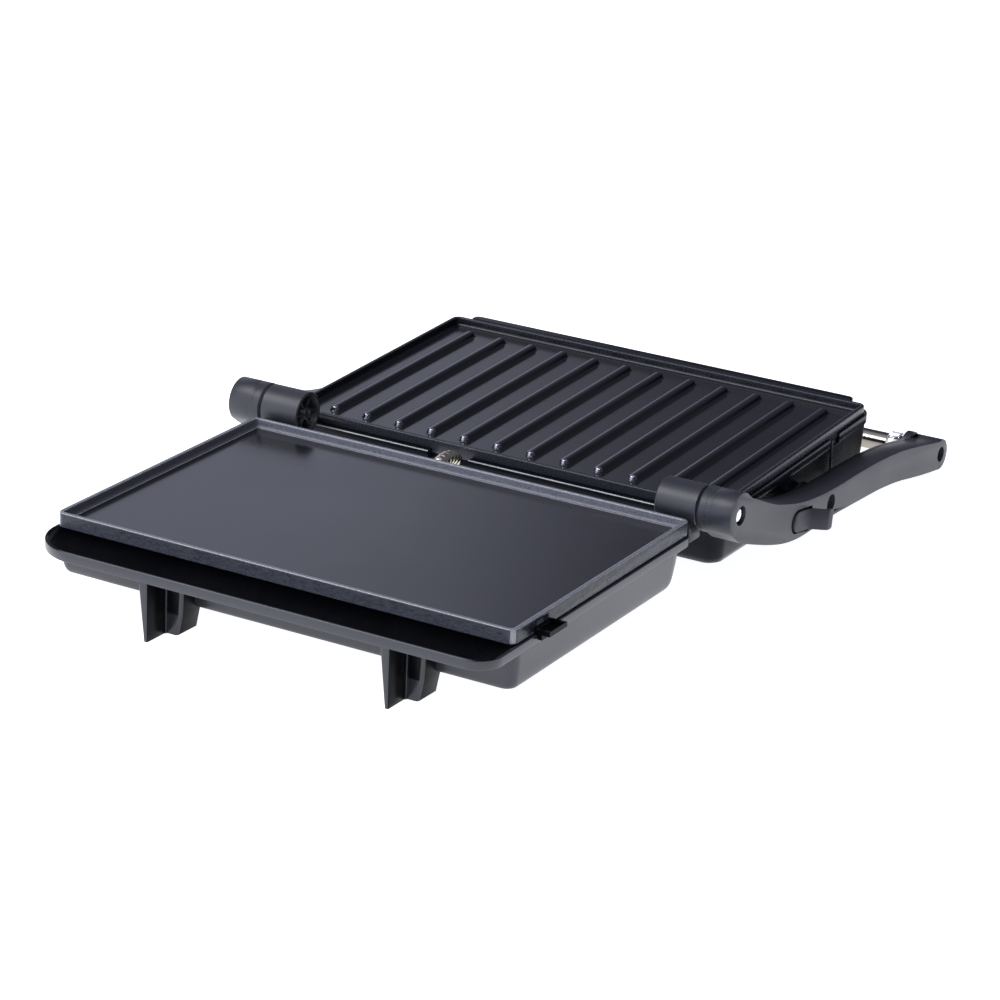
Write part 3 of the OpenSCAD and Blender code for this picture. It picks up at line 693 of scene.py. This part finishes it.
def arm(side, place):
    o = prism("arm", arm_outline(), ARM_IN + COVER + 0.2, ARM_OUT, place, [ARM])
    apply_all(bevel(o, 1.5, 4, 45))
    cuts = [bore(157.6, 5.3, PIVOT, place), bore(158, 4.7, TUBE, place), bore(155.8, 5.6, AXIS, place)]
    if side == "right":
        cuts.append(lever_pocket())
    drum = lathe_x("drum", [(142.3, 9), (142.3, 11.9), (143.6, DRUM_R), (150, DRUM_R), (150, 9)],
                   place, [ARM], n=72)
    return join([cut_with(o, cuts), drum], "arm_" + side + "_detail", 32)


def arm_cover(side, place):
    """dark inner cover, with the boss that the handle tube goes into"""
    lumps = [bevel(prism("cover", arm_outline(), ARM_IN, ARM_IN + COVER, place, [DARK]), 0.6, 2, 45)]
    for k in (0, 3, 6):
        lumps.append(lathe_x("boss", [(142.3, 6.6), (142.3, 7.6), (143.0, 8.4), (147.5, 8.4), (147.5, 6.6)],
                             place, [DARK], (TUBE[0] - k, TUBE[1] + 0.7 * k), 48))
    return join(lumps, "arm_cover_" + side + "_detail", 32)


for side, place in (("right", at_hinge), ("left", mirrored)):
    show(arm(side, place), "arms", "arm_" + side)
    show(arm_cover(side, place), "arms", "arm_cover_" + side)

# ---- hinge barrels of the base --------------------------------------------


def barrel(side, place):
    """barrel open towards the middle, with a hub and six spokes, on a web that stands on the shell"""
    tube = lathe_x("barrel", [(138.0, 0.8), (138.0, 10.8), (117.1, 10.8), (116.75, 11.1), (116.7, 11.5),
                              (116.7, 12.3), (117.2, BARREL_R), (141.3, BARREL_R), (141.9, 12.2),
                              (141.9, 0.8)], place, [HINGE], n=72, smooth=40)
    hub = lathe_x("hub", [(138.2, 6.4), (126.4, 6.4), (125.7, 5.8), (125.7, 3.6), (117.3, 3.6),
                          (116.9, 3.2), (116.9, 1.2), (119.5, 1.0)], place, [HINGE], n=40, smooth=40)
    parts = [tube, hub]
    for k in range(6):
        def spoke_place(p, angle=math.radians(30 + 60 * k)):
            return place(turn(p, angle))
        spoke = brick("spoke", (118.6, -0.5, 2.6), (137, 0.5, 10.9), spoke_place, [HINGE])
        parts.append(bevel(spoke, 0.2, 2))
    web = brick("web", (118.2, -17.0, -16), (141.7, -4.2, -6.6), place, [HINGE])
    parts.append(bevel(web, 1.0, 3))
    return join(parts, "base_hinge_" + side + "_detail", 35)


for side, place in (("right", at_hinge), ("left", mirrored)):
    show(barrel(side, place), "base", "base_hinge_" + side)

# ---- handle ---------------------------------------------------------------

TEETH = 42


def collar(place):
    """knurled collar on the tube, smooth at both ends"""
    rings = []
    for x, r, knurl in ((129.3, 6.2, 0), (129.3, 7.0, 0), (129.8, 7.3, 0.05), (130.3, 7.5, 0.22),
                        (133.2, 7.5, 0.22), (136.3, 7.5, 0.22), (136.8, 7.3, 0.05), (137.3, 7.0, 0),
                        (137.3, 6.2, 0)):
        ring = []
        for k in range(TEETH * 4):
            a = 2 * math.pi * k / (TEETH * 4)
            tooth = r + knurl * math.cos(TEETH * a)
            ring.append((x, TUBE[0] + tooth * math.cos(a), TUBE[1] + tooth * math.sin(a)))
        rings.append(ring)
    return loft("collar", rings, place, [CHROME], smooth=25)


tube = lathe_x("handle_tube_detail", [(-155.8, 5.0), (-155.8, 6.1), (155.8, 6.1), (155.8, 5.0)], at_hinge,
               [STEEL], TUBE)
show(tube, "arms", "handle_tube")
collars = join([collar(at_hinge), collar(mirrored)], "handle_collars_detail")
show(collars, "arms", "handle_collars")

# ---- release lever --------------------------------------------------------


def lever_plate():
    """flat plate, round towards the hinge, that sweeps outwards at the finger end"""
    centre = LEVER_START + LEVER_HALF
    line = [LEVER_START + 0.02]
    line += [LEVER_START + LEVER_HALF * (1 - math.cos(math.radians(a))) for a in range(15, 91, 15)]
    line += [2 + 0.5 * k for k in range(21)] + [14.8, 16.2, 16.8]
    rings = []
    for y in line:
        half = LEVER_HALF
        if y <= centre:
            half = math.sqrt(max(0.05, LEVER_HALF ** 2 - (y - centre) ** 2))
        if y > 15:
            half -= 0.9 * (y - 15) / 1.8
        lift = 8.5 * ease((y - 2) / 10)
        inner, outer = -1.2 + lift, 1.0 + lift
        rings.append([(inner, y, -half), (outer, y, -half), (outer, y, half), (inner, y, half)])
    return bevel(loft("lever_plate", rings, at_lever, [ARM], smooth=50), 0.7, 3, 55)


parts = [lever_plate()]
for z in (-6, 2.5):
    lug = prism("lug", arc(-3.4, 0, 2.6, 90, 270, 12) + [(-0.6, -2.6), (-0.6, 2.6)], z, z + 3.5, at_lever,
                [ARM], "z")
    parts.append(bevel(lug, 0.3, 2, 50))
for k in range(3):
    y = 12.9 + 1.3 * k
    grip = prism("grip", [(9.2, y), (9.5, y + 0.2), (9.5, y + 0.6), (9.2, y + 0.8)], -4.5, 4.5, at_lever,
                 [ARM], "z")
    parts.append(bevel(grip, 0.08, 1, 50))
lever = join(parts, "release_lever_detail", 35)
show(lever, "lever", "release_lever")

# ---- conduit: a wound metal hose over the gap -----------------------------

HOSE_X, HOSE_Z, HOSE_BEND = -24, -27.7, 20.0   # middle of the bend, and its radius
HOSE_R, HOSE_SWELL = 3.55, 0.62                # radius between two turns, and how far a turn stands out
HOSE_FROM, HOSE_SWEEP = 164, 110               # degrees along the bend
HOSE_TURN = 10.5                               # degrees of the bend to a turn
HOSE_STEPS, HOSE_SIDES = 130, 24

rings = []
for i in range(HOSE_STEPS + 1):
    along = HOSE_SWEEP * i / HOSE_STEPS
    a = math.radians(HOSE_FROM - along)
    phase = (along / HOSE_TURN) % 1.0
    r = HOSE_R + HOSE_SWELL * math.sqrt(max(0.0, 1 - (2 * phase - 1) ** 2))
    cy, cz = HOSE_BEND * math.cos(a), HOSE_Z + HOSE_BEND * math.sin(a)
    ring = []
    for k in range(HOSE_SIDES):
        b = 2 * math.pi * k / HOSE_SIDES
        out = r * math.sin(b)
        ring.append((HOSE_X + r * math.cos(b), cy + out * math.cos(a), cz + out * math.sin(a)))
    rings.append(ring)
hose = loft("conduit_detail", rings, at_hinge, [HOSE], smooth=80)
show(hose, "base", "conduit")

# ---- hinge pins -----------------------------------------------------------


def pin(place):
    """hinge pin with a domed head just inside the arm's outer face"""
    return lathe_x("pin", [(123.0, 0.4), (123.0, 3.6), (123.5, 4.0), (156.0, 4.0), (156.0, 5.2), (160.2, 5.2),
                           (161.2, 4.9), (162.0, 4.1), (162.5, 2.8), (162.7, 1.4), (162.75, 0.2)],
                   place, [CHROME], n=48, smooth=50)


pins = join([pin(at_hinge), pin(mirrored)], "hinge_pins_detail")
show(pins, "base", "hinge_pins")

# ---- CAD nodes that keep their shape --------------------------------------


def give(node, mat, width=None):
    """a CAD node keeps its shape and takes a material, with softened edges"""
    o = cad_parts[node]
    if not o.data.materials:
        o.data.materials.append(mat)
    for s in o.material_slots:
        s.material = mat
    if width:
        bevel(o, width, 2, 45)


give("drip_spout", LEDGE, 0.5)
give("rear_feet", RUBBER, 0.8)
give("pivot_bolts", DULL_STEEL, 0.4)
give("handle_screws", DULL_STEEL, 0.4)
give("tube_plugs", DULL_STEEL)
give("base_screws", BLACK_STEEL, 0.2)
give("lid_screws", BLACK_STEEL, 0.2)
give("base_heater", SHEATH)
give("lid_heater", SHEATH)
give("base_reflector", SHEET)
give("lid_reflector", SHEET)
give("thermostat", CREAM, 0.3)
give("terminal_block", CREAM, 0.4)
give("base_fuse", DULL_STEEL, 0.3)
give("lid_fuse", DULL_STEEL, 0.3)
give("cord_inlet", DARK, 0.5)
give("lever_pin", DULL_STEEL)
give("lever_spring", DULL_STEEL)
give("lid_bushings", DARK, 0.3)
give("lamp_lenses", LAMP, 0.5)

# ---- floor ----------------------------------------------------------------

FLOOR_HALF = 12.0                    # metres

floor_mat, _, _, bsdf = new_mat("floor_pale")
bsdf.inputs["Base Color"].default_value = (0.86, 0.86, 0.86, 1)
bsdf.inputs["Roughness"].default_value = 0.8
bsdf.inputs["Emission Color"].default_value = (0.955, 0.97, 1.005, 1)
bsdf.inputs["Emission Strength"].default_value = 1.0
me = bpy.data.meshes.new("floor")
corners = ((-1, -1), (1, -1), (1, 1), (-1, 1))
me.from_pydata([(FLOOR_HALF * x, FLOOR_HALF * y, 0) for x, y in corners], [], [(0, 1, 2, 3)])
me.materials.append(floor_mat)
floor = bpy.data.objects.new("floor", me)
scene.collection.objects.link(floor)

# ---- light ----------------------------------------------------------------


def heading(azimuth, elevation):
    """unit vector; azimuth 0 points along -Y, positive turns towards +X"""
    a, e = math.radians(azimuth), math.radians(elevation)
    return Vector((math.sin(a) * math.cos(e), -math.cos(a) * math.cos(e), math.sin(e)))


# studio walls: dim all round, with soft bright panels at these headings; a panel
# is full inside the first cosine and gone past the second
AMBIENT = 0.14
PANELS = ((-128, 18, 0.947, 0.912, 0.68), (-30, 14, 0.97, 0.80, 2.4), (-30, 75, 0.98, 0.70, 0.8))

world = bpy.data.worlds.new("world")
scene.world = world
world.use_nodes = True
nodes, links = world.node_tree.nodes, world.node_tree.links
co = nodes.new("ShaderNodeTexCoord")
total = None
for azimuth, elevation, full, none, value in PANELS:
    dot = nodes.new("ShaderNodeVectorMath")
    dot.operation = "DOT_PRODUCT"
    dot.inputs[1].default_value = heading(azimuth, elevation)
    links.new(co.outputs["Generated"], dot.inputs[0])
    panel = nodes.new("ShaderNodeMapRange")
    panel.interpolation_type = "SMOOTHSTEP"
    panel.inputs["From Min"].default_value = none
    panel.inputs["From Max"].default_value = full
    panel.inputs["To Max"].default_value = value
    links.new(dot.outputs["Value"], panel.inputs["Value"])
    add = nodes.new("ShaderNodeMath")
    links.new(panel.outputs[0], add.inputs[0])
    if total is None:
        add.inputs[1].default_value = AMBIENT
    else:
        links.new(total, add.inputs[1])
    total = add.outputs[0]
background = nodes["Background"]
background.inputs["Color"].default_value = (0.78, 0.81, 1.0, 1)
links.new(total, background.inputs["Strength"])


def area(name, azimuth, elevation, distance, size, power):
    """rectangular light that faces the origin; distance and size in metres"""
    d = bpy.data.lights.new(name, "AREA")
    d.shape = "RECTANGLE"
    d.size, d.size_y = size
    d.energy = power
    o = bpy.data.objects.new(name, d)
    scene.collection.objects.link(o)
    o.location = heading(azimuth, elevation) * distance
    o.rotation_mode = "QUATERNION"
    o.rotation_quaternion = (-o.location).to_track_quat("-Z", "Y")


area("soft_front", -45, 50, 2.0, (1.3, 0.8), 20)
area("glint_left", 6, 42, 2.2, (0.10, 0.10), 4.0)
area("glint_right", 30, 42, 2.2, (0.10, 0.10), 4.0)

# ---- camera ---------------------------------------------------------------

ROLL = math.radians(2.27)
AIM = Vector((0, -211.2, -0.4))      # a point at the base's front that the offsets start from
OFFSET = (116.94, 35.6, 1870.97)     # to its right, upwards and back, before the slope

back = heading(29.57, 20.68)
right = Vector((0, 0, 1)).cross(back).normalized()
up = back.cross(right)
r_axis = math.cos(ROLL) * right + math.sin(ROLL) * up
u_axis = -math.sin(ROLL) * right + math.cos(ROLL) * up
eye = at_hinge(AIM + r_axis * OFFSET[0] + u_axis * OFFSET[1] + back * OFFSET[2])
slope = Matrix.Rotation(DRAIN, 3, "X")
turned = Matrix((slope @ r_axis, slope @ u_axis, slope @ back)).transposed()
cam_data = bpy.data.cameras.new("camera")
cam_data.sensor_width = 36
cam_data.lens = 130.56
cam_data.clip_start, cam_data.clip_end = 0.05, 60
cam = bpy.data.objects.new("camera", cam_data)
scene.collection.objects.link(cam)
cam.matrix_world = Matrix.Translation(eye) @ turned.to_4x4()
scene.camera = cam
scene.view_settings.view_transform = "Standard"
scene.view_settings.look = "None"
